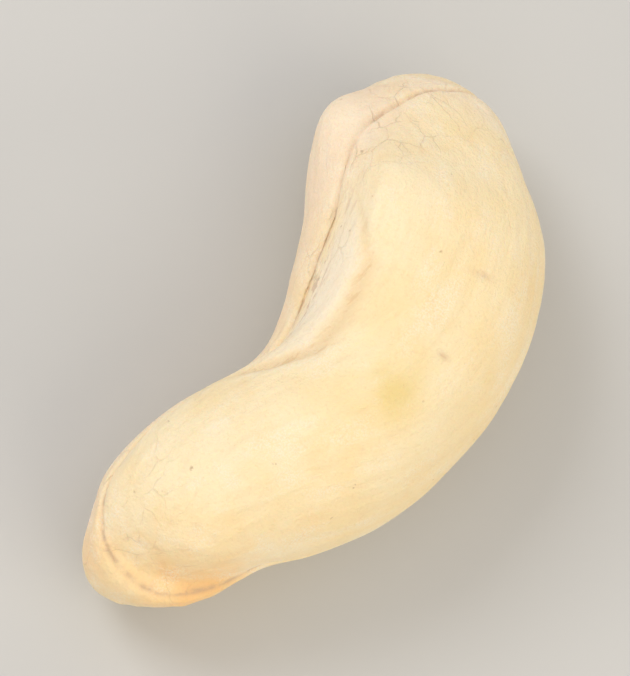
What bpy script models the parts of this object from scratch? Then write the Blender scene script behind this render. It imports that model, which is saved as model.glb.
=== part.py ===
"""A whole cashew kernel, shelled and skinned, lying on its side. Blender 4.5: metres, +Z up.

The kernel is one solid: two halves grown together, one above the other, with a seam where their rims
meet. It is lofted from tip to tip through sections that are round on the back and nearly flat on the side
of the bay. The surface then gets the seam, the channel in the bay, the lip of the lower half, the nub of
the germ, and a small flat on the underside where the kernel rests.

+Y runs along the longest way, from the lower tip to the upper one. +X points out of the convex back,
and the bay opens towards -X. The origin is in the middle of the kernel's box, on the surface it lies on.
"""

import math

import bpy
import numpy as np

NAME = "cashew_nut"
MM = 0.001

# Stations along the kernel, from the upper tip to the lower one, in millimetres and degrees. Each gives:
# the section's middle, x, y and z;
# its half widths, to the back and to the bay;
# its half thicknesses, above and below;
# its twist about the kernel's own line, which turns the bay side up;
# its lean, how far its top slants back along the line for each millimetre of height;
# its bevel: above the seam the bay side is an ellipse cut off flat, and this is the share by which the
# ellipse would reach past the flat.
STATIONS = np.array(
    (
        (-1.1, 13.2, 1.0, 6.4, 3.8, 3.2, 5.7, 24.0, -0.7, 0.05),
        (0.5, 10.9, 0.1, 4.6, 5.4, 4.0, 5.6, 28.0, -0.4, 0.2),
        (2.4, 7.3, 0.0, 5.5, 6.2, 5.0, 5.5, 27.0, 0.0, 0.3),
        (3.9, 1.8, -0.4, 5.3, 5.9, 5.9, 5.1, 18.0, 0.0, 0.28),
        (3.3, -2.8, -0.3, 5.1, 4.9, 5.9, 5.2, 7.0, 0.0, 0.15),
        (1.8, -5.9, 0.0, 4.9, 4.5, 5.3, 5.5, 0.0, 0.0, 0.08),
        (0.0, -9.0, 0.1, 4.2, 4.4, 4.7, 5.6, 0.0, 0.0, 0.04),
        (-1.2, -12.3, 0.4, 3.9, 4.2, 4.5, 5.5, 0.0, 0.25, 0.02),
        (-1.9, -14.8, 0.5, 4.0, 4.6, 4.5, 5.4, 0.0, 0.35, 0.02),
    )
)

# The round ends: how far each reaches along the kernel, and how blunt it is (2 is an ellipse)
UPPER_END, LOWER_END = 6.0, 6.0
END_BLUNTNESS = 2.5

# How softly the bevel meets the ellipse, in millimetres for each share of bevel
RIDGE_SOFTNESS = 1.2

# The mesh: rings between the round ends, rings on each of them, points in a ring, and how much closer
# together those points are near the seam
MIDDLE_RINGS, END_RINGS, SIDES = 46, 14, 52
SEAM_CROWDING = 0.6

# What lies only on the bay side starts at the middle of the section and is whole this far towards the bay
BAY_STARTS_BY = 2.0

# The channel along the bay side, just above the seam
CHANNEL_DEPTH, CHANNEL_HALF_WIDTH, CHANNEL_UP = 0.3, 1.3, 0.5

# The seam: a groove where the halves meet
SEAM_DEPTH, SEAM_HALF_WIDTH = 0.32, 0.34

# At the lower tip, and most on its back side, the upper half's bulge ends in a step above its own thin rim,
# and the lower half's rim stands out as a lip
STEP_DEPTH, STEP_UP, STEP_WITHIN = 0.7, 1.6, 0.35
LIP_HEIGHT, LIP_HALF_WIDTH = 0.3, 0.9
LIP_CENTRE, LIP_REACH = 2.5, 4.5

# The nub of the germ, on the bay side of the upper tip, just below the seam
NUB_ALONG, NUB_UP = 2.0, -1.0
NUB_HEIGHT, NUB_RADIUS = 0.6, 1.8

# Gentle unevenness of the whole surface: height, and the length of one swell
SWELL_HEIGHT, SWELL_LENGTH = 0.12, 9.0

# How much of the roundest part of the underside the resting flat takes off
FLAT_DEPTH = 0.3

CREAM = (0.86, 0.70, 0.44, 1.0)
ROUGHNESS = 0.6


def smooth_through(knots, values, at):
    """The natural cubic spline through values at knots, read at each place in at, one row for each."""
    count = len(knots)
    gap = np.diff(knots)
    slope = np.diff(values, axis=0) / gap[:, None]
    weights = np.eye(count)
    wanted = np.zeros_like(values)
    for i in range(1, count - 1):
        weights[i, i - 1 : i + 2] = gap[i - 1], 2 * (gap[i - 1] + gap[i]), gap[i]
        wanted[i] = 6 * (slope[i] - slope[i - 1])
    bend = np.linalg.solve(weights, wanted)
    i = np.clip(np.searchsorted(knots, at, side="right") - 1, 0, count - 2)
    width = gap[i][:, None]
    after = (at - knots[i])[:, None] / width
    before = 1 - after
    curve = (before**3 - before) * bend[i] + (after**3 - after) * bend[i + 1]
    return before * values[i] + after * values[i + 1] + width**2 / 6 * curve


def hump(distance, half_width):
    """1 at no distance, falling smoothly to 0."""
    return np.exp(-((distance / half_width) ** 2))


def soft_least(first, second, softness):
    """The smaller of two lengths, with a rounded corner where they cross."""
    return (first + second - np.hypot(first - second, softness)) / 2


def distances_along_line():
    """How far each station is from the upper tip along the kernel's line."""
    steps = np.linalg.norm(np.diff(STATIONS[:, :2], axis=0), axis=1)
    return np.concatenate([[0.0], np.cumsum(steps)])


def ring_places(length, middle_rings, end_rings):
    """Distances of the rings from the upper tip, closer together on the round ends."""
    turn = (np.arange(end_rings) + 0.5) / end_rings * math.pi / 2
    upper = UPPER_END * (1 - np.cos(turn))
    lower = length - LOWER_END * (1 - np.cos(turn[::-1]))
    middle = np.linspace(UPPER_END, length - LOWER_END, middle_rings)
    return np.concatenate([upper, middle, lower])


def end_scale(places, length):
    """How much of its full width each section has: less towards each tip, as a round end."""
    to_tip = np.minimum(places / UPPER_END, (length - places) / LOWER_END)
    return np.sqrt(1 - (1 - np.minimum(to_tip, 1)) ** END_BLUNTNESS)


def lofted(middle_rings, end_rings, sides):
    """The plain form: its points, and for each its distance from the upper tip, and its place in its own
    section, across (towards the bay) and up. The first and last points are the tips."""
    knots = distances_along_line()
    length = knots[-1]
    places = ring_places(length, middle_rings, end_rings)
    scale = end_scale(places, length)[:, None]
    values = smooth_through(knots, STATIONS, places)
    middle = values[:, None, :3]
    line = np.gradient(smooth_through(knots, STATIONS[:, :2], places), places, axis=0)
    line /= np.linalg.norm(line, axis=1)[:, None]
    to_bay = np.stack([line[:, 1], -line[:, 0]], axis=1)

    turn = np.linspace(0, 2 * math.pi, sides, endpoint=False)
    turn = turn - SEAM_CROWDING / 2 * np.sin(2 * turn)
    cos, sin = np.cos(turn)[None, :], np.sin(turn)[None, :]
    back, bay, above, below, twist, lean, bevel = (values[:, k : k + 1] for k in range(3, 10))
    bevelled = soft_least(bay * (1 + bevel) * cos, bay, RIDGE_SOFTNESS * bevel)
    to_side = np.where(cos > 0, np.where(sin > 0, bevelled, bay * cos), back * cos)
    across = to_side * scale
    up = np.where(sin > 0, above, below) * sin * scale

    twist = np.radians(twist)
    out = across * np.cos(twist) - up * np.sin(twist)
    rise = across * np.sin(twist) + up * np.cos(twist)
    offset = to_bay[:, None, :] * out[..., None] - line[:, None, :] * (lean * up)[..., None]
    rings = middle + np.concatenate([offset, rise[..., None]], axis=2)
    points = np.vstack([STATIONS[0, :3], rings.reshape(-1, 3), STATIONS[-1, :3]])
    along = np.concatenate([[0.0], np.repeat(places, sides), [length]])
    across = np.concatenate([[0.0], across.ravel(), [0.0]])
    up = np.concatenate([[0.0], up.ravel(), [0.0]])
    return points, along, across, up


def loft_faces(rings, sides):
    """Quads between the rings and triangles round each tip, all facing out."""
    faces = []
    last = 1 + rings * sides
    for j in range(sides):
        k = (j + 1) % sides
        faces.append((0, 1 + j, 1 + k))
        for i in range(rings - 1):
            a, b = 1 + i * sides, 1 + (i + 1) * sides
            faces.append((a + j, b + j, b + k, a + k))
        faces.append((last, last - sides + k, last - sides + j))
    return faces


def normals_of(points, faces):
    """Unit normals at the points."""
    triangles = np.array([f[:3] for f in faces] + [(f[0], f[2], f[3]) for f in faces if len(f) == 4])
    corners = points[triangles]
    facing = np.cross(corners[:, 1] - corners[:, 0], corners[:, 2] - corners[:, 0])
    total = np.zeros_like(points)
    for k in range(3):
        np.add.at(total, triangles[:, k], facing)
    return total / np.linalg.norm(total, axis=1)[:, None]


def swells(points):
    """Low uneven waves over the whole surface, from -1 to 1."""
    x, y, z = (points * (2 * math.pi / SWELL_LENGTH)).T
    return (np.sin(x + 0.7 * y) + np.sin(0.8 * y - z + 2.0) + np.sin(1.1 * z + 0.6 * x + 4.0)) / 3


def relief(points, along, across, up):
    """How far each point moves out from the plain form."""
    to_upper, to_lower = along, distances_along_line()[-1] - along
    groove = SEAM_DEPTH * hump(up, SEAM_HALF_WIDTH)

    on_bay = np.clip(across / BAY_STARTS_BY, 0, 1)
    inside = np.clip(np.minimum(to_upper, to_lower) / UPPER_END, 0, 1)
    channel = CHANNEL_DEPTH * hump(up - CHANNEL_UP, CHANNEL_HALF_WIDTH) * on_bay * inside

    near_lower = hump(np.hypot(to_lower, across + LIP_CENTRE), LIP_REACH)
    off_bulge = np.where(up > 0, 1 / (1 + np.exp((up - STEP_UP) / STEP_WITHIN)), 0)
    step = STEP_DEPTH * near_lower * off_bulge * (1 - groove / SEAM_DEPTH)
    lip = LIP_HEIGHT * near_lower * hump(up + LIP_HALF_WIDTH, LIP_HALF_WIDTH)

    from_nub = np.hypot(to_upper - NUB_ALONG, up - NUB_UP)
    nub = NUB_HEIGHT * hump(from_nub, NUB_RADIUS) * on_bay
    return SWELL_HEIGHT * swells(points) + lip + nub - groove - channel - step


def kernel_points(middle_rings, end_rings, sides, faces):
    """The finished surface, resting on z = 0 with its box centred on the origin."""
    points, along, across, up = lofted(middle_rings, end_rings, sides)
    points = points + normals_of(points, faces) * relief(points, along, across, up)[:, None]
    rest = points[:, 2].min() + FLAT_DEPTH
    points[:, 2] = np.maximum(points[:, 2] - rest, 0)
    points[:, :2] -= (points[:, :2].min(axis=0) + points[:, :2].max(axis=0)) / 2
    return points


def cream_material():
    """Pale matt cream, as the skinned kernel is."""
    material = bpy.data.materials.new("cashew_cream")
    material.use_nodes = True
    shader = material.node_tree.nodes["Principled BSDF"]
    shader.inputs["Base Color"].default_value = CREAM
    shader.inputs["Roughness"].default_value = ROUGHNESS
    shader.inputs["Metallic"].default_value = 0.0
    return material


def make_kernel():
    faces = loft_faces(MIDDLE_RINGS + 2 * END_RINGS, SIDES)
    points = kernel_points(MIDDLE_RINGS, END_RINGS, SIDES, faces) * MM
    mesh = bpy.data.meshes.new(NAME)
    mesh.from_pydata(points.tolist(), [], faces)
    mesh.shade_smooth()
    mesh.materials.append(cream_material())
    kernel = bpy.data.objects.new(NAME, mesh)
    bpy.context.scene.collection.objects.link(kernel)
    return kernel


def main():
    for old in list(bpy.data.objects):
        bpy.data.objects.remove(old)
    make_kernel()


main()
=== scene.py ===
"""The looks of a whole cashew kernel: the skinned surface with its seam, wrinkles and pits, and its creamy
flesh.

The kernel is lofted from the same stations as the solid, with a finer mesh, so it keeps that form. Fine
relief is added to the mesh, and a material of clouds, patches, veins, powder and specks is laid over it.
Lengths are in millimetres unless they say metres, and the frame is the solid's: +Y from the lower tip to the
upper one, +X out of the convex back, +Z up.
"""

import math

import bpy
import numpy as np
from mathutils import Matrix, Vector, kdtree, noise


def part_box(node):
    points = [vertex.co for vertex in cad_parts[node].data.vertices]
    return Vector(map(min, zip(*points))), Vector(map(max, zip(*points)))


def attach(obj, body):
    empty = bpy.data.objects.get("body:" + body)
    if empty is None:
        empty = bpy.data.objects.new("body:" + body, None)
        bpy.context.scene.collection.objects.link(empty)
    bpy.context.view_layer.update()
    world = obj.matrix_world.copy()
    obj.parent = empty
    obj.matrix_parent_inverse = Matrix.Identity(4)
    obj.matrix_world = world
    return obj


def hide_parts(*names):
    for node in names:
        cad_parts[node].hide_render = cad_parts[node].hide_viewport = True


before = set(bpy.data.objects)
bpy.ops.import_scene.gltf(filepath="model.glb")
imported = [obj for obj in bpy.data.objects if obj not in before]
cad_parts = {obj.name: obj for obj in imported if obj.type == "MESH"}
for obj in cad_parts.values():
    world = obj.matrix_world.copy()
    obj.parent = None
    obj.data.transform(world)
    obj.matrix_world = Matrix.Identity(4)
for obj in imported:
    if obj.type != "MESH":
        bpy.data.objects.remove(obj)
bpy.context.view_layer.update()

NAME = "cashew_nut"
MM = 0.001

# Stations along the kernel, from the upper tip to the lower one, in millimetres and degrees. Each gives:
# the section's middle, x, y and z;
# its half widths, to the back and to the bay;
# its half thicknesses, above and below;
# its twist about the kernel's own line, which turns the bay side up;
# its lean, how far its top slants back along the line for each millimetre of height;
# its bevel: above the seam the bay side is an ellipse cut off flat, and this is the share by which the
# ellipse would reach past the flat.
STATIONS = np.array(
    (
        (-1.1, 13.2, 1.0, 6.4, 3.8, 3.2, 5.7, 24.0, -0.7, 0.05),
        (0.5, 10.9, 0.1, 4.6, 5.4, 4.0, 5.6, 28.0, -0.4, 0.2),
        (2.4, 7.3, 0.0, 5.5, 6.2, 5.0, 5.5, 27.0, 0.0, 0.3),
        (3.9, 1.8, -0.4, 5.3, 5.9, 5.9, 5.1, 18.0, 0.0, 0.28),
        (3.3, -2.8, -0.3, 5.1, 4.9, 5.9, 5.2, 7.0, 0.0, 0.15),
        (1.8, -5.9, 0.0, 4.9, 4.5, 5.3, 5.5, 0.0, 0.0, 0.08),
        (0.0, -9.0, 0.1, 4.2, 4.4, 4.7, 5.6, 0.0, 0.0, 0.04),
        (-1.2, -12.3, 0.4, 3.9, 4.2, 4.5, 5.5, 0.0, 0.25, 0.02),
        (-1.9, -14.8, 0.5, 4.0, 4.6, 4.5, 5.4, 0.0, 0.35, 0.02),
    )
)

# The round ends: how far each reaches along the kernel, and how blunt it is (2 is an ellipse)
UPPER_END, LOWER_END = 6.0, 6.0
END_BLUNTNESS = 2.5

# How softly the bevel meets the ellipse, in millimetres for each share of bevel
RIDGE_SOFTNESS = 1.2

# The mesh: rings between the round ends, rings on each of them, points in a ring, and how much closer
# together those points are near the seam
MIDDLE_RINGS, END_RINGS, SIDES = 160, 75, 300
SEAM_CROWDING = 0.6

# What lies only on the bay side starts at the middle of the section and is whole this far towards the bay
BAY_STARTS_BY = 2.0

# The channel along the bay side, just above the seam
CHANNEL_DEPTH, CHANNEL_HALF_WIDTH, CHANNEL_UP = 0.3, 1.3, 0.5

# The seam: a groove where the halves meet
SEAM_DEPTH, SEAM_HALF_WIDTH = 0.2, 0.17
# How far it wanders up and down, and the length of one bend
SEAM_WANDER, SEAM_WANDER_LENGTH = 0.14, 2.6
# The share by which its depth changes along it, and the length of one change
SEAM_UNEVEN, SEAM_UNEVEN_LENGTH = 0.6, 1.7
# How much lower it lies at the lower tip, how much higher at the upper one, and how far the rise reaches
LOWER_SEAM_DROP, UPPER_SEAM_RISE, UPPER_SEAM_REACH = 0.3, 0.45, 3.0
# How many points stand for it where distances from it are measured
SEAM_SAMPLES = 3000

# The painted shade of the seam: the dark line in it, and how dark the groove beside it is painted
SEAM_LINE_HALF_WIDTH = 0.09
SEAM_SIDE_TONE = 0.2
# Where that line shows least, on the bay side of the upper tip, and how much less
SEAM_FAINT_ALONG, SEAM_FAINT_ACROSS, SEAM_FAINT_REACH = 3.3, 5.0, 2.2
SEAM_FAINT = 0.6

# At the lower tip, and most on its back side, the upper half's bulge ends in a step above its own thin rim,
# and the lower half's rim stands out as a lip
STEP_DEPTH, STEP_UP, STEP_WITHIN = 0.7, 1.9, 0.45
LIP_HEIGHT, LIP_HALF_WIDTH = 0.3, 0.9
LIP_CENTRE, LIP_REACH = 2.5, 4.5

# The nub of the germ, on the bay side of the upper tip, just below the seam
NUB_ALONG, NUB_UP = 2.5, -1.6
NUB_HEIGHT, NUB_RADIUS = 0.8, 1.5

# Low swellings and hollows that give the tips their outline. Each has its distance from the upper tip, its
# place across and up, its radius and its height
TIP_SHAPES = (
    (1.0, 1.7, -2.4, 1.6, -0.45),
    (0.25, -1.4, -1.2, 1.5, 0.2),
    (29.5, 0.2, -3.0, 1.8, 0.42),
    (28.9, 2.8, -1.5, 1.2, -0.45),
)

# Gentle unevenness of the whole surface: height, and the length of one swell
SWELL_HEIGHT, SWELL_LENGTH = 0.12, 9.0

# How much of the roundest part of the underside the resting flat takes off
FLAT_DEPTH = 0.3

# A fold in the flesh along the upper edge of the bevel, deepest towards the lower tip: its height over the
# seam at each distance from the upper tip, and its depth there
FOLD_ALONG = (6.0, 7.0, 9.2, 11.3, 14.5, 17.8, 20.3, 22.5)
FOLD_UP = (1.0, 1.6, 3.05, 4.05, 4.3, 4.2, 3.2, 2.0)
FOLD_DEPTH = (0.0, 0.03, 0.08, 0.11, 0.13, 0.18, 0.25, 0.0)
FOLD_HALF_WIDTH = 0.3
# How much painted shade it gets for each millimetre of depth, up to 1
FOLD_TONE = 8.0

# Wrinkles along the kernel: height, length and width of one, and how much they fade from place to place
WRINKLE_HEIGHT, WRINKLE_LENGTH, WRINKLE_WIDTH = 0.08, 6.0, 0.9
WRINKLE_FADING, WRINKLE_FADING_LENGTH = 0.4, 5.0

# Shallow dents: depth, and the size of one
DENT_DEPTH, DENT_SIZE = 0.07, 3.2

# Small pits scattered over the surface: how many, the depth of the deepest, the share of it that the
# shallowest have, and their least and greatest radius
PIT_COUNT, PIT_DEPTH, PIT_SHALLOWEST = 60, 0.05, 0.3
PIT_RADIUS = (0.1, 0.18)
PIT_SEED = 4

# Two short scars on the upper half: distance from the upper tip, place across, and half lengths along and
# across
SCARS = ((9.9, 0.8, 0.14, 0.5), (13.6, 0.4, 0.12, 0.4))
SCAR_DEPTH = 0.06

# How dark the painted shade in the pits is and how dark the scars' own marks are, next to the seam's line
PIT_TONE, SCAR_TONE = 0.3, 0.6

# How far each use of the noise is shifted, so that no two are alike
WANDER_SHIFT, UNEVEN_SHIFT, WRINKLE_SHIFT, FADING_SHIFT, DENT_SHIFT = 3.3, 8.1, 5.0, 1.0, 2.0

# Ragged patches of colour, and of painted highlight and painted orange bounce light: the middle of each on
# the finished surface, its half sizes along x, y and z, the shift of the noise that frays its edge, and its
# strength
PATCHES = {
    "tip": (
        ((-6.0, 9.5, 6.6), (2.4, 2.8, 2.6), 6.0, 1.0),
        ((-3.0, 13.4, 6.3), (2.6, 1.3, 1.1), 7.0, 0.8),
    ),
    # A painted highlight where the arms face the light most
    "milky_highlight": (
        ((-2.9, 6.1, 11.2), (3.2, 3.4, 3.0), 14.0, 1.0),
        ((-3.0, -8.8, 10.0), (3.0, 3.4, 2.5), 16.0, 1.0),
    ),
    # Painted orange bounce light in the shade round the lower tip
    "warm_bounce_light": (
        ((-1.0, -12.8, 5.0), (3.0, 2.4, 2.6), 12.0, 1.0),
        ((-5.2, -13.9, 4.4), (2.8, 1.8, 1.5), 18.0, 0.45),
    ),
    "yellow": (((1.8, -1.5, 10.9), (1.15, 1.6, 2.0), 9.0, 1.0),),
}
PATCH_FRAYING, PATCH_FRAYING_LENGTH = 0.35, 1.1

# Colour that lies only on the bay side is whole this far towards the bay
COLOUR_STARTS_BY = 3.0

# The middle of the bay, as a distance from the upper tip
BAY_MIDDLE = 13.5

# The pale bevel, pale flesh with a painted highlight on it: how far below the fold it is whole, and its
# reach to each side of the bay's middle
BEVEL_UNDER_FOLD, BEVEL_REACH = 0.7, 7.5
# The height over the seam where it starts, how much higher it is whole, and how far towards the bay
BEVEL_UP, BEVEL_WITHIN, BEVEL_STARTS_BY = 0.3, 0.8, 1.0
# How pale the upper tip is
TIP_PALE = 0.7

# The band of creases along the bay side: its middle's height over the seam, and its half width
WORN_UP, WORN_HALF_WIDTH = 0.8, 2.2
# How creased the tips are, and how far from each
WORN_TIPS, WORN_TIPS_REACH = 0.6, 3.0
# The band of dark strokes there, also with its reach to each side of the bay's middle
STROKES_UP, STROKES_HALF_WIDTH, STROKES_REACH = 0.9, 0.9, 8.0
# The pink band there, also with its strength
PINK_UP, PINK_HALF_WIDTH, PINK_STRENGTH = -2.0, 2.0, 0.8

# The flesh's colours, linear
CREAM = (0.94, 0.755, 0.44, 1.0)
IVORY = (0.96, 0.81, 0.53, 1.0)
BUTTER = (0.92, 0.68, 0.34, 1.0)
# Pale flesh, with a painted highlight where it lies on the bevel
PALE_AND_HIGHLIGHT = (0.98, 0.85, 0.66, 1.0)
# A painted highlight
MILKY_HIGHLIGHT = (0.97, 0.86, 0.64, 1.0)
PINK = (0.93, 0.70, 0.52, 1.0)
YELLOW = (0.83, 0.65, 0.26, 1.0)
# Painted orange bounce light
WARM_BOUNCE_LIGHT = (0.97, 0.57, 0.22, 1.0)
# Painted shade, in the low parts of the veins and the grain and in the fold
HOLLOW_SHADE = (0.78, 0.56, 0.31, 1.0)
# Painted shade in the fine creases
CREASE_SHADE = (0.62, 0.45, 0.29, 1.0)
# Painted shade in the seam and the pits, and the scars' own dark marks
CREVICE_SHADE_AND_SCARS = (0.60, 0.41, 0.26, 1.0)
STROKE = (0.62, 0.43, 0.29, 1.0)
SPECK = (0.42, 0.26, 0.13, 1.0)
POWDER = (0.97, 0.89, 0.74, 1.0)

# What is laid over the clouds, in this order: the value that says where, the colour, and how much shows
TINTS = (
    # A painted highlight where the arms face the light most
    ("milky_highlight", MILKY_HIGHLIGHT, 0.5),
    ("pink", PINK, 0.75),
    # Pale flesh: on the bevel with a painted highlight, and at the upper tip
    ("pale", PALE_AND_HIGHLIGHT, 0.95),
    ("yellow", YELLOW, 0.85),
    # Painted orange bounce light in the shade round the lower tip
    ("warm_bounce_light", WARM_BOUNCE_LIGHT, 0.85),
)

# How much each pattern shows in the colour; the low parts of the veins and the grain, and the creases, show
# as painted shade
BUTTER_SHOWS, VEINS_SHOW, GRAIN_SHOWS, POWDER_SHOWS = 0.5, 0.16, 0.22, 0.6
CREASES_SHOW, SPECKS_SHOW, STROKES_SHOW = 0.25, 0.6, 0.7
# The least and most that the painted shade of the fold and the crevices shows, from place to place
FOLD_SHOWS, CREVICES_SHOW = (0.45, 0.85), (0.2, 0.7)

# How finely each pattern repeats along the kernel, across it and up
VEIN_STRETCH, POWDER_STRETCH = (0.25, 1.6, 1.6), (0.3, 0.7, 0.7)
CREASE_STRETCH, STROKE_STRETCH = (0.3, 0.8, 0.8), (0.6, 3.2, 3.2)

# The flesh's roughness where the veins' pattern is low, and where it is high
FLESH_ROUGHNESS = (0.66, 0.5)
# How high the grain and the veins stand in the bump, how deep the creases are, and its strength
GRAIN_BUMP, VEIN_BUMP, CREASE_BUMP, BUMP_STRENGTH = 0.1, 0.17, 0.05, 0.8
# The flesh's gloss, the light that passes through it, and its dusty sheen
FLESH_SHADER = {
    "Specular IOR Level": 0.35,
    "Subsurface Weight": 0.2,
    "Subsurface Radius": (1.0, 0.55, 0.28),
    "Subsurface Scale": 0.8 * MM,
    "Sheen Weight": 0.15,
    "Sheen Roughness": 0.5,
}

# The floor: half its side in metres, its two tones, and how finely they mix
FLOOR_HALF = 1.5
FLOOR_DARK, FLOOR_LIGHT = (0.55, 0.555, 0.56, 1.0), (0.58, 0.585, 0.59, 1.0)
FLOOR_CLOUDS = 40.0
FLOOR_SHADER = {"Roughness": 0.8, "Specular IOR Level": 0.2}

# The direction from the kernel to the camera: this many degrees off straight up, leaning towards the bay
# side of the lower tip
CAMERA_TILT, CAMERA_TOWARDS = 20.0, 249.0
# How far the picture is turned: the side that the camera leans to shows at this angle, with 90 straight up
CAMERA_ROLL = 217.0
# Its distance from the kernel, the height of what it sees there, and its sensor's longer side, which stands
# upright
CAMERA_AWAY, PICTURE_HEIGHT, SENSOR = 450.0, 31.4, 36.0
# The nearest that it sees, in metres
CAMERA_NEAREST = 0.01

# Square soft lights. Each has its direction from the kernel, by the picture's right, up and depth, its
# distance and its side in metres, its power in watts and its colour
LIGHTS = {
    "key": ((-0.45, 0.65, 0.85), 0.8, 0.35, 2.4, (1.0, 0.99, 0.96)),
    "fill": ((0.8, -0.5, 0.6), 0.9, 0.9, 3.3, (1.0, 0.88, 0.64)),
    "low": ((-0.7, -0.6, 0.5), 0.9, 0.9, 1.3, (1.0, 0.9, 0.8)),
}
STUDIO_COLOUR, STUDIO_STRENGTH = (1.0, 0.955, 0.91, 1.0), 0.725


def smooth_through(knots, values, at):
    """The natural cubic spline through values at knots, read at each place in at, one row for each."""
    count = len(knots)
    gap = np.diff(knots)
    slope = np.diff(values, axis=0) / gap[:, None]
    weights = np.eye(count)
    wanted = np.zeros_like(values)
    for i in range(1, count - 1):
        weights[i, i - 1 : i + 2] = gap[i - 1], 2 * (gap[i - 1] + gap[i]), gap[i]
        wanted[i] = 6 * (slope[i] - slope[i - 1])
    bend = np.linalg.solve(weights, wanted)
    i = np.clip(np.searchsorted(knots, at, side="right") - 1, 0, count - 2)
    width = gap[i][:, None]
    after = (at - knots[i])[:, None] / width
    before = 1 - after
    curve = (before**3 - before) * bend[i] + (after**3 - after) * bend[i + 1]
    return before * values[i] + after * values[i + 1] + width**2 / 6 * curve


def hump(distance, half_width):
    """1 at no distance, about a third at the half width, and falling smoothly to 0."""
    return np.exp(-((distance / half_width) ** 2))


def ramp(value, start, within):
    """0 up to start, then rising evenly to 1 within that much more."""
    return np.clip((value - start) / within, 0, 1)


def soft_least(first, second, softness):
    """The smaller of two lengths, with a rounded corner where they cross."""
    return (first + second - np.hypot(first - second, softness)) / 2


def distances_along_line():
    """How far each station is from the upper tip along the kernel's line."""
    steps = np.linalg.norm(np.diff(STATIONS[:, :2], axis=0), axis=1)
    return np.concatenate([[0.0], np.cumsum(steps)])


def ring_places(length):
    """Distances of the rings from the upper tip, closer together on the round ends."""
    turn = (np.arange(END_RINGS) + 0.5) / END_RINGS * math.pi / 2
    upper = UPPER_END * (1 - np.cos(turn))
    lower = length - LOWER_END * (1 - np.cos(turn[::-1]))
    middle = np.linspace(UPPER_END, length - LOWER_END, MIDDLE_RINGS)
    return np.concatenate([upper, middle, lower])


def end_scale(places, length):
    """How much of its full width each section has: less towards each tip, as a round end."""
    to_tip = np.minimum(places / UPPER_END, (length - places) / LOWER_END)
    return np.sqrt(1 - (1 - np.minimum(to_tip, 1)) ** END_BLUNTNESS)


def lofted():
    """The plain form: its points, and for each its distance from the upper tip, and its place in its own
    section, across (towards the bay) and up. The first and last points are the tips."""
    knots = distances_along_line()
    length = knots[-1]
    places = ring_places(length)
    scale = end_scale(places, length)[:, None]
    values = smooth_through(knots, STATIONS, places)
    middle = values[:, None, :3]
    line = np.gradient(smooth_through(knots, STATIONS[:, :2], places), places, axis=0)
    line /= np.linalg.norm(line, axis=1)[:, None]
    to_bay = np.stack([line[:, 1], -line[:, 0]], axis=1)

    turn = np.linspace(0, 2 * math.pi, SIDES, endpoint=False)
    turn = turn - SEAM_CROWDING / 2 * np.sin(2 * turn)
    cos, sin = np.cos(turn)[None, :], np.sin(turn)[None, :]
    back, bay, above, below, twist, lean, bevel = (values[:, k : k + 1] for k in range(3, 10))
    bevelled = soft_least(bay * (1 + bevel) * cos, bay, RIDGE_SOFTNESS * bevel)
    to_side = np.where(cos > 0, np.where(sin > 0, bevelled, bay * cos), back * cos)
    across = to_side * scale
    up = np.where(sin > 0, above, below) * sin * scale

    twist = np.radians(twist)
    out = across * np.cos(twist) - up * np.sin(twist)
    rise = across * np.sin(twist) + up * np.cos(twist)
    offset = to_bay[:, None, :] * out[..., None] - line[:, None, :] * (lean * up)[..., None]
    rings = middle + np.concatenate([offset, rise[..., None]], axis=2)
    points = np.vstack([STATIONS[0, :3], rings.reshape(-1, 3), STATIONS[-1, :3]])
    along = np.concatenate([[0.0], np.repeat(places, SIDES), [length]])
    across = np.concatenate([[0.0], across.ravel(), [0.0]])
    up = np.concatenate([[0.0], up.ravel(), [0.0]])
    return points, along, across, up


def loft_faces():
    """Quads between the rings and triangles round each tip, all facing out."""
    rings = MIDDLE_RINGS + 2 * END_RINGS
    faces = []
    last = 1 + rings * SIDES
    for j in range(SIDES):
        k = (j + 1) % SIDES
        faces.append((0, 1 + j, 1 + k))
        for i in range(rings - 1):
            a, b = 1 + i * SIDES, 1 + (i + 1) * SIDES
            faces.append((a + j, b + j, b + k, a + k))
        faces.append((last, last - SIDES + k, last - SIDES + j))
    return faces


def normals_of(points, faces):
    """Unit normals at the points."""
    triangles = np.array([f[:3] for f in faces] + [(f[0], f[2], f[3]) for f in faces if len(f) == 4])
    corners = points[triangles]
    facing = np.cross(corners[:, 1] - corners[:, 0], corners[:, 2] - corners[:, 0])
    total = np.zeros_like(points)
    for k in range(3):
        np.add.at(total, triangles[:, k], facing)
    return total / np.linalg.norm(total, axis=1)[:, None]


def noise_at(points, size, shift):
    """Smooth noise from about -1 to 1, whose lumps are of that size (one number, or one for each axis)."""
    return np.array([noise.noise(Vector(p)) for p in points / np.asarray(size) + shift])


def swells(points):
    """Low uneven waves over the whole surface, from -1 to 1: three waves, each in a direction of its own."""
    x, y, z = (points * (2 * math.pi / SWELL_LENGTH)).T
    return (np.sin(x + 0.7 * y) + np.sin(0.8 * y - z + 2.0) + np.sin(1.1 * z + 0.6 * x + 4.0)) / 3


def wrinkles(points, place):
    """Fine wrinkles along the kernel, as a height, stronger in some places than in others."""
    furrows = noise_at(place, (WRINKLE_LENGTH, WRINKLE_WIDTH, WRINKLE_WIDTH), WRINKLE_SHIFT)
    fading = noise_at(points, WRINKLE_FADING_LENGTH, FADING_SHIFT)
    return WRINKLE_HEIGHT * (1 - 2 * np.abs(furrows)) * (1 - WRINKLE_FADING + WRINKLE_FADING * fading)


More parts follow.
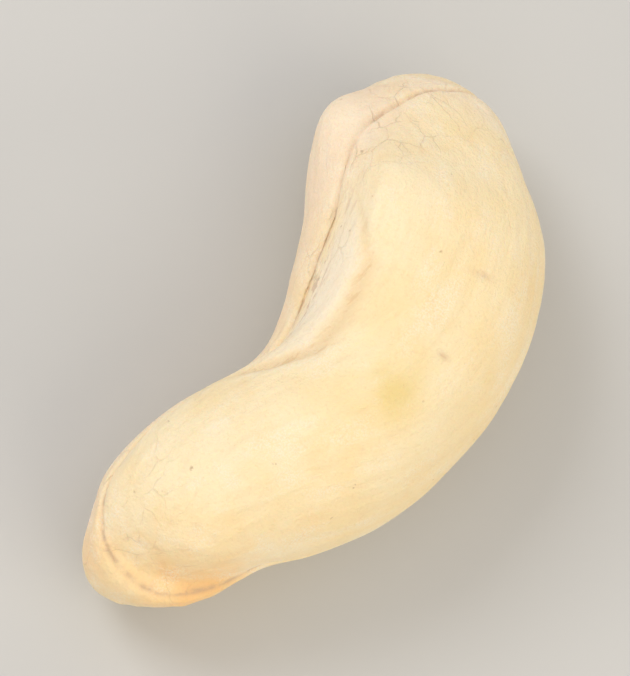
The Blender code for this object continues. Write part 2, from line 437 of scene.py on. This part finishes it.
def fold_line(along, across, up):
    """The fold along the upper edge of the bevel, as a depth."""
    over = up - np.interp(along, FOLD_ALONG, FOLD_UP)
    depth = np.interp(along, FOLD_ALONG, FOLD_DEPTH)
    return np.where(across > 0, depth * hump(over, FOLD_HALF_WIDTH), 0)


def pits(points):
    """Small round pits at points drawn at random, from 0 to 1."""
    draw = np.random.default_rng(PIT_SEED)
    total = np.zeros(len(points))
    for centre in points[draw.integers(len(points), size=PIT_COUNT)]:
        away = np.linalg.norm(points - centre, axis=1)
        total = np.maximum(total, hump(away, draw.uniform(*PIT_RADIUS)) * draw.uniform(PIT_SHALLOWEST, 1))
    return total


def scars(along, across, up):
    """The short scars on the upper half, from 0 to 1."""
    total = np.zeros(len(along))
    for at_along, at_across, half_along, half_across in SCARS:
        away = np.hypot((along - at_along) / half_along, (across - at_across) / half_across)
        total = np.maximum(total, np.where(up > 0, hump(away, 1), 0))
    return total


def above_seam(points, up):
    """Each point's distance from the plain line between the two halves, minus below it."""
    rings = 1 + np.arange(MIDDLE_RINGS + 2 * END_RINGS) * SIDES
    on_seam = np.concatenate([[0], rings, [len(points) - 1], rings[::-1] + SIDES // 2, [0]])
    places = np.linspace(0, len(on_seam) - 1, SEAM_SAMPLES)
    numbers = np.arange(len(on_seam))
    line = np.stack([np.interp(places, numbers, points[on_seam, k]) for k in range(3)], axis=1)
    tree = kdtree.KDTree(len(line))
    for k, place in enumerate(line):
        tree.insert(place, k)
    tree.balance()
    away = np.array([tree.find(point)[2] for point in points])
    return np.where(up < 0, -away, away)


def above_wandering_seam(points, along, across, up, near_lower):
    """Each point's distance from the seam as it wanders, drops and rises, minus below it."""
    by_along = np.stack([along, along * 0, along * 0], axis=1)
    wander = SEAM_WANDER * noise_at(by_along, SEAM_WANDER_LENGTH, WANDER_SHIFT)
    near_upper = hump(np.hypot(along, across), UPPER_SEAM_REACH)
    drop = LOWER_SEAM_DROP * near_lower - UPPER_SEAM_RISE * near_upper
    return above_seam(points, up) + wander + drop


def tip_shapes(place):
    """How far the swellings and hollows at the tips move each point out."""
    total = np.zeros(len(place))
    for *centre, radius, height in TIP_SHAPES:
        total += height * hump(np.linalg.norm(place - centre, axis=1), radius)
    return total


def relief(points, place):
    """How far each point moves out from the plain form, and from 0 to 1, the painted shade of the seam and
    the pits with the scars' own dark marks, and the painted shade of the fold."""
    along, across, up = place.T
    to_lower = distances_along_line()[-1] - along
    near_lower = hump(np.hypot(to_lower, across + LIP_CENTRE), LIP_REACH)
    from_seam = above_wandering_seam(points, along, across, up, near_lower)
    seam = hump(from_seam, SEAM_HALF_WIDTH)
    uneven = np.clip(1 + SEAM_UNEVEN * noise_at(points, SEAM_UNEVEN_LENGTH, UNEVEN_SHIFT), 0, 2)
    groove = SEAM_DEPTH * seam * uneven

    on_bay = ramp(across, 0, BAY_STARTS_BY)
    inside = ramp(np.minimum(along, to_lower), 0, UPPER_END)
    channel = CHANNEL_DEPTH * hump(up - CHANNEL_UP, CHANNEL_HALF_WIDTH) * on_bay * inside

    off_bulge = np.where(from_seam > 0, 1 / (1 + np.exp((up - STEP_UP) / STEP_WITHIN)), 0)
    step = STEP_DEPTH * near_lower * off_bulge * (1 - seam)
    lip = LIP_HEIGHT * near_lower * hump(up + LIP_HALF_WIDTH, LIP_HALF_WIDTH)
    nub = NUB_HEIGHT * hump(np.hypot(along - NUB_ALONG, up - NUB_UP), NUB_RADIUS) * on_bay

    dent = DENT_DEPTH * noise_at(points, DENT_SIZE, DENT_SHIFT)
    fold = fold_line(along, across, up)
    scar = scars(along, across, up)
    small = PIT_DEPTH * pits(points) + SCAR_DEPTH * scar

    out = SWELL_HEIGHT * swells(points) + lip + nub + wrinkles(points, place) + dent + tip_shapes(place)
    out = out - groove - channel - step - fold - small
    from_faint = np.hypot(along - SEAM_FAINT_ALONG, across - SEAM_FAINT_ACROSS)
    faint = SEAM_FAINT * hump(from_faint, SEAM_FAINT_REACH)
    line = (hump(from_seam, SEAM_LINE_HALF_WIDTH) * uneven + SEAM_SIDE_TONE * seam) * (1 - faint)
    # Painted shade in the seam and the pits, with the scars' own dark marks; the fold's painted shade grows
    # with its depth
    crevice_shade_and_scars = line + PIT_TONE * small / PIT_DEPTH + SCAR_TONE * scar
    return out, np.clip(crevice_shade_and_scars, 0, 1), np.clip(FOLD_TONE * fold, 0, 1)


def patch(points, name):
    """The patches of that name, with frayed edges, from 0 to 1."""
    total = np.zeros(len(points))
    for middle, half_sizes, shift, strength in PATCHES[name]:
        away = np.linalg.norm((points - middle) / half_sizes, axis=1)
        away = away + PATCH_FRAYING * noise_at(points, PATCH_FRAYING_LENGTH, shift)
        total = np.maximum(total, strength * hump(away, 1))
    return total


def colour_places(points, along, across, up):
    """Where the material's patches and bands lie, each from 0 to 1."""
    below_fold = np.interp(along, FOLD_ALONG, FOLD_UP) - up
    from_middle = along - BAY_MIDDLE
    # The bevel: pale flesh with a painted highlight
    bevel = ramp(below_fold, 0, BEVEL_UNDER_FOLD) * ramp(up, BEVEL_UP, BEVEL_WITHIN)
    bevel = bevel * hump(from_middle, BEVEL_REACH) * ramp(across, 0, BEVEL_STARTS_BY)
    on_bay = ramp(across, 0, COLOUR_STARTS_BY)
    worn = hump(up - WORN_UP, WORN_HALF_WIDTH) * on_bay
    tips = hump(np.minimum(along, along.max() - along), WORN_TIPS_REACH)
    strokes = hump(up - STROKES_UP, STROKES_HALF_WIDTH) * on_bay
    pink = PINK_STRENGTH * hump(up - PINK_UP, PINK_HALF_WIDTH) * on_bay
    tip = patch(points, "tip")
    return {
        "worn": np.clip(worn + WORN_TIPS * tips, 0, 1),
        "pale": np.clip(bevel + TIP_PALE * tip, 0, 1),
        "channel": strokes * hump(from_middle, STROKES_REACH),
        "pink": np.clip(tip + pink, 0, 1),
        "yellow": patch(points, "yellow"),
        "milky_highlight": patch(points, "milky_highlight"),
        "warm_bounce_light": patch(points, "warm_bounce_light"),
    }


def kernel_surface():
    """The finished surface on its resting flat: its points and faces, each point's distance from the upper
    tip and place in its section, and the values that the material reads."""
    faces = loft_faces()
    plain, along, across, up = lofted()
    place = np.stack([along, across, up], axis=1)
    out, crevice_shade_and_scars, fold = relief(plain, place)
    points = plain + normals_of(plain, faces) * out[:, None]
    rest = points[:, 2].min() + FLAT_DEPTH
    points[:, 2] = np.maximum(points[:, 2] - rest, 0)
    low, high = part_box(NAME)
    middle = (np.array(low) + np.array(high))[:2] / 2 / MM
    points[:, :2] += middle - (points[:, :2].min(axis=0) + points[:, :2].max(axis=0)) / 2
    values = {"crevice_shade_and_scars": crevice_shade_and_scars, "fold": fold, **colour_places(points, along, across, up)}
    return points, faces, place, values


class Looks:
    """A short way to write a material's nodes: most calls add nodes and give back their output."""

    def __init__(self, name):
        self.material = bpy.data.materials.new(name)
        self.material.use_nodes = True
        self.tree = self.material.node_tree
        self.shader = self.tree.nodes["Principled BSDF"]

    def put(self, socket, value):
        """Links value to the socket where it is another node's output, and sets the socket to it if not."""
        if isinstance(value, bpy.types.NodeSocket):
            self.tree.links.new(value, socket)
        else:
            socket.default_value = value

    def shade(self, inputs):
        """Gives the shader's sockets their values."""
        for key, value in inputs.items():
            self.put(self.shader.inputs[key], value)

    def add(self, kind, inputs, output=0, **settings):
        """A node of that kind, with its inputs and settings."""
        node = self.tree.nodes.new(kind)
        for key, value in settings.items():
            setattr(node, key, value)
        for key, value in inputs.items():
            self.put(node.inputs[key], value)
        return node.outputs[output]

    def attribute(self, name, output="Fac"):
        """A value that the mesh holds at each point."""
        return self.add("ShaderNodeAttribute", {}, output, attribute_name=name)

    def place(self):
        """The place on the object, in metres."""
        return self.add("ShaderNodeTexCoord", {}, "Object")

    def noise(self, where, scale, detail=3.0, roughness=0.55, distortion=0.0):
        """Smooth noise from 0 to 1."""
        inputs = {
            "Vector": where,
            "Scale": scale,
            "Detail": detail,
            "Roughness": roughness,
            "Distortion": distortion,
        }
        return self.add("ShaderNodeTexNoise", inputs)

    def cells(self, where, scale, feature="F1"):
        """The distance from a cell's middle, or from its edge."""
        inputs = {"Vector": where, "Scale": scale}
        return self.add("ShaderNodeTexVoronoi", inputs, "Distance", feature=feature)

    def scaled(self, vector, factor):
        """vector times one factor."""
        return self.add("ShaderNodeVectorMath", {0: vector, "Scale": factor}, operation="SCALE")

    def stretched(self, vector, factors):
        """vector times one factor for each axis."""
        return self.add("ShaderNodeVectorMath", {0: vector, 1: factors}, operation="MULTIPLY")

    def warped(self, vector, where, scale, reach):
        """vector with noise added to it, up to half of reach to each side."""
        shift = self.add("ShaderNodeTexNoise", {"Vector": where, "Scale": scale, "Detail": 2.0}, "Color")
        centred = self.add("ShaderNodeVectorMath", {0: shift, 1: (0.5, 0.5, 0.5)}, operation="SUBTRACT")
        added = self.scaled(centred, reach)
        return self.add("ShaderNodeVectorMath", {0: vector, 1: added}, operation="ADD")

    def between(self, value, low, high, to_low=0.0, to_high=1.0):
        """to_low where value is low, to_high where it is high, and a smooth change between them."""
        inputs = {"Value": value, "From Min": low, "From Max": high, "To Min": to_low, "To Max": to_high}
        return self.add("ShaderNodeMapRange", inputs, interpolation_type="SMOOTHSTEP")

    def maths(self, operation, first, second):
        """Two numbers put together by that operation."""
        return self.add("ShaderNodeMath", {0: first, 1: second}, operation=operation)

    def times(self, first, second):
        """Two numbers multiplied."""
        return self.maths("MULTIPLY", first, second)

    def blend(self, share, first, second):
        """first where share is 0, second where it is 1."""
        node = self.tree.nodes.new("ShaderNodeMix")
        node.data_type = "RGBA"
        self.put(node.inputs[0], share)
        self.put(node.inputs[6], first)
        self.put(node.inputs[7], second)
        return node.outputs[2]


def clouded(m, body):
    """Cream with ivory and butter clouds, and the tints laid over them."""
    ivory = m.between(m.noise(body, scale=0.22, detail=2.0), low=0.35, high=0.65)
    colour = m.blend(ivory, CREAM, IVORY)
    buttery = m.between(m.noise(body, scale=0.4, distortion=0.4), low=0.52, high=0.75)
    colour = m.blend(m.times(buttery, BUTTER_SHOWS), colour, BUTTER)
    for name, tint, shows in TINTS:
        colour = m.blend(m.times(m.attribute(name), shows), colour, tint)
    return colour


def powder(m, place, body):
    """Fine powder in drifts along the kernel, from 0 to 1."""
    drifts = m.between(m.noise(m.stretched(place, POWDER_STRETCH), scale=1.0), low=0.45, high=0.7)
    grains = m.between(m.noise(body, scale=11.0, detail=4.0, roughness=0.7), low=0.42, high=0.6)
    return m.times(drifts, grains)


def fine_creases(m, place, body):
    """A net of fine creases where the flesh is worn, from 0 to 1."""
    warped = m.warped(m.stretched(place, CREASE_STRETCH), body, scale=0.8, reach=0.7)
    from_edge = m.cells(warped, scale=0.9, feature="DISTANCE_TO_EDGE")
    worn = m.times(m.attribute("worn"), m.between(m.noise(body, scale=0.5), low=0.4, high=0.6))
    return m.times(m.between(from_edge, low=0.004, high=0.03, to_low=1.0, to_high=0.0), worn)


def specks(m, body):
    """Small dark specks, from 0 to 1."""
    from_middle = m.cells(m.warped(body, body, scale=5.0, reach=0.25), scale=0.7)
    broken = m.between(m.noise(body, scale=7.0, detail=2.0), low=0.4, high=0.6)
    return m.times(m.between(from_middle, low=0.03, high=0.1, to_low=1.0, to_high=0.0), broken)


def flesh_material():
    """Matt creamy flesh: clouds and patches, with a painted highlight and painted orange bounce light among
    them, veins along the kernel and grain with painted shade where they are low, powder, fine creases with
    painted shade in them, specks, dark strokes in the channel, and painted shade in the fold, the seam and
    the pits, with the scars' own dark marks."""
    m = Looks("cashew_flesh")
    place = m.attribute("place", "Vector")
    body = m.scaled(m.place(), 1 / MM)
    colour = clouded(m, body)

    veins = m.noise(m.stretched(place, VEIN_STRETCH), scale=1.0, detail=5.0, roughness=0.65)
    grain = m.noise(body, scale=6.0, detail=5.0, roughness=0.65)
    # Painted shade where the veins and the grain are low, as they are in the bump
    for pattern, shows in ((veins, VEINS_SHOW), (grain, GRAIN_SHOWS)):
        colour = m.blend(m.between(pattern, low=0.5, high=0.3, to_high=shows), colour, HOLLOW_SHADE)

    creases = fine_creases(m, place, body)
    colour = m.blend(m.times(powder(m, place, body), POWDER_SHOWS), colour, POWDER)
    # Painted shade in the fine creases, which the bump also sinks
    colour = m.blend(m.times(creases, CREASES_SHOW), colour, CREASE_SHADE)
    colour = m.blend(m.times(specks(m, body), SPECKS_SHOW), colour, SPECK)

    stroke_noise = m.noise(m.stretched(place, STROKE_STRETCH), scale=1.0, roughness=0.6)
    strokes = m.between(stroke_noise, low=0.52, high=0.66)
    colour = m.blend(m.times(m.times(strokes, m.attribute("channel")), STROKES_SHOW), colour, STROKE)

    # Painted shade in the fold, stronger in some places than in others
    fold = m.times(m.attribute("fold"), m.between(strokes, 0.0, 1.0, *FOLD_SHOWS))
    colour = m.blend(fold, colour, HOLLOW_SHADE)
    # Painted shade in the seam and the pits, with the scars' own dark marks
    depth = m.between(m.noise(body, scale=1.5, detail=4.0), 0.38, 0.6, *CREVICES_SHOW)
    colour = m.blend(m.times(m.attribute("crevice_shade_and_scars"), depth), colour, CREVICE_SHADE_AND_SCARS)

    height = m.maths("ADD", m.times(grain, GRAIN_BUMP), m.times(veins, VEIN_BUMP))
    height = m.maths("SUBTRACT", height, m.times(creases, CREASE_BUMP))
    bump = m.add("ShaderNodeBump", {"Height": height, "Strength": BUMP_STRENGTH, "Distance": MM})
    roughness = m.between(veins, 0.3, 0.7, *FLESH_ROUGHNESS)
    m.shade({"Base Color": colour, "Roughness": roughness, "Normal": bump})
    m.shade(FLESH_SHADER)
    return m.material


def shown(name, data):
    """A new object in the scene, made of data."""
    thing = bpy.data.objects.new(name, data)
    bpy.context.scene.collection.objects.link(thing)
    return thing


def make_kernel():
    """The kernel, with the values that its material reads."""
    points, faces, place, values = kernel_surface()
    mesh = bpy.data.meshes.new("kernel")
    mesh.from_pydata((points * MM).tolist(), [], faces)
    mesh.shade_smooth()
    mesh.attributes.new("place", "FLOAT_VECTOR", "POINT").data.foreach_set("vector", place.ravel())
    for name, value in values.items():
        mesh.attributes.new(name, "FLOAT", "POINT").data.foreach_set("value", value)
    mesh.materials.append(flesh_material())
    kernel = shown("kernel", mesh)
    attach(kernel, "root")
    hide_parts(NAME)
    return kernel


def make_floor():
    """A plain pale floor."""
    corners = [(x * FLOOR_HALF, y * FLOOR_HALF, 0) for x, y in ((-1, -1), (1, -1), (1, 1), (-1, 1))]
    mesh = bpy.data.meshes.new("floor")
    mesh.from_pydata(corners, [], [(0, 1, 2, 3)])
    m = Looks("pale_floor")
    tone = m.between(m.noise(m.place(), scale=FLOOR_CLOUDS, detail=2.0), low=0.3, high=0.7)
    m.shade({"Base Color": m.blend(tone, FLOOR_DARK, FLOOR_LIGHT)})
    m.shade(FLOOR_SHADER)
    mesh.materials.append(m.material)
    shown("floor", mesh)


def picture_axes():
    """The picture's right, its up, and the direction to the camera."""
    tilt, towards = math.radians(CAMERA_TILT), math.radians(CAMERA_TOWARDS)
    lean = Vector((math.cos(towards), math.sin(towards), 0))
    back = Vector((0, 0, math.cos(tilt))) + lean * math.sin(tilt)
    leaning = (lean - back * lean.dot(back)).normalized()
    right = Matrix.Rotation(-math.radians(CAMERA_ROLL), 3, back) @ leaning
    return right, back.cross(right), back


def make_camera(kernel):
    """A camera that looks straight at the middle of what it sees of the kernel."""
    axes = picture_axes()
    spans = [[axis.dot(vertex.co) for vertex in kernel.data.vertices] for axis in axes]
    middle = sum((axis * (min(span) + max(span)) / 2 for axis, span in zip(axes, spans)), Vector())
    camera = bpy.data.cameras.new("camera")
    camera.sensor_width = SENSOR
    camera.lens = SENSOR * CAMERA_AWAY / PICTURE_HEIGHT
    camera.clip_start = CAMERA_NEAREST
    seen = shown("camera", camera)
    seen.matrix_world = Matrix(axes).transposed().to_4x4()
    seen.location = middle + axes[2] * CAMERA_AWAY * MM
    bpy.context.scene.camera = seen


def make_lights():
    """The soft lights, each looking at the kernel, and the studio's own light."""
    right, up, back = picture_axes()
    for name, (towards, away, side, power, colour) in LIGHTS.items():
        data = bpy.data.lights.new(name, "AREA")
        data.size, data.energy, data.color = side, power, colour
        light = shown(name, data)
        direction = right * towards[0] + up * towards[1] + back * towards[2]
        light.location = direction.normalized() * away
        light.rotation_euler = light.location.to_track_quat("Z", "Y").to_euler()
    world = bpy.data.worlds.new("studio")
    world.use_nodes = True
    background = world.node_tree.nodes["Background"]
    background.inputs["Color"].default_value = STUDIO_COLOUR
    background.inputs["Strength"].default_value = STUDIO_STRENGTH
    bpy.context.scene.world = world


kernel = make_kernel()
make_floor()
make_camera(kernel)
make_lights()
bpy.context.scene.view_settings.view_transform = "Standard"
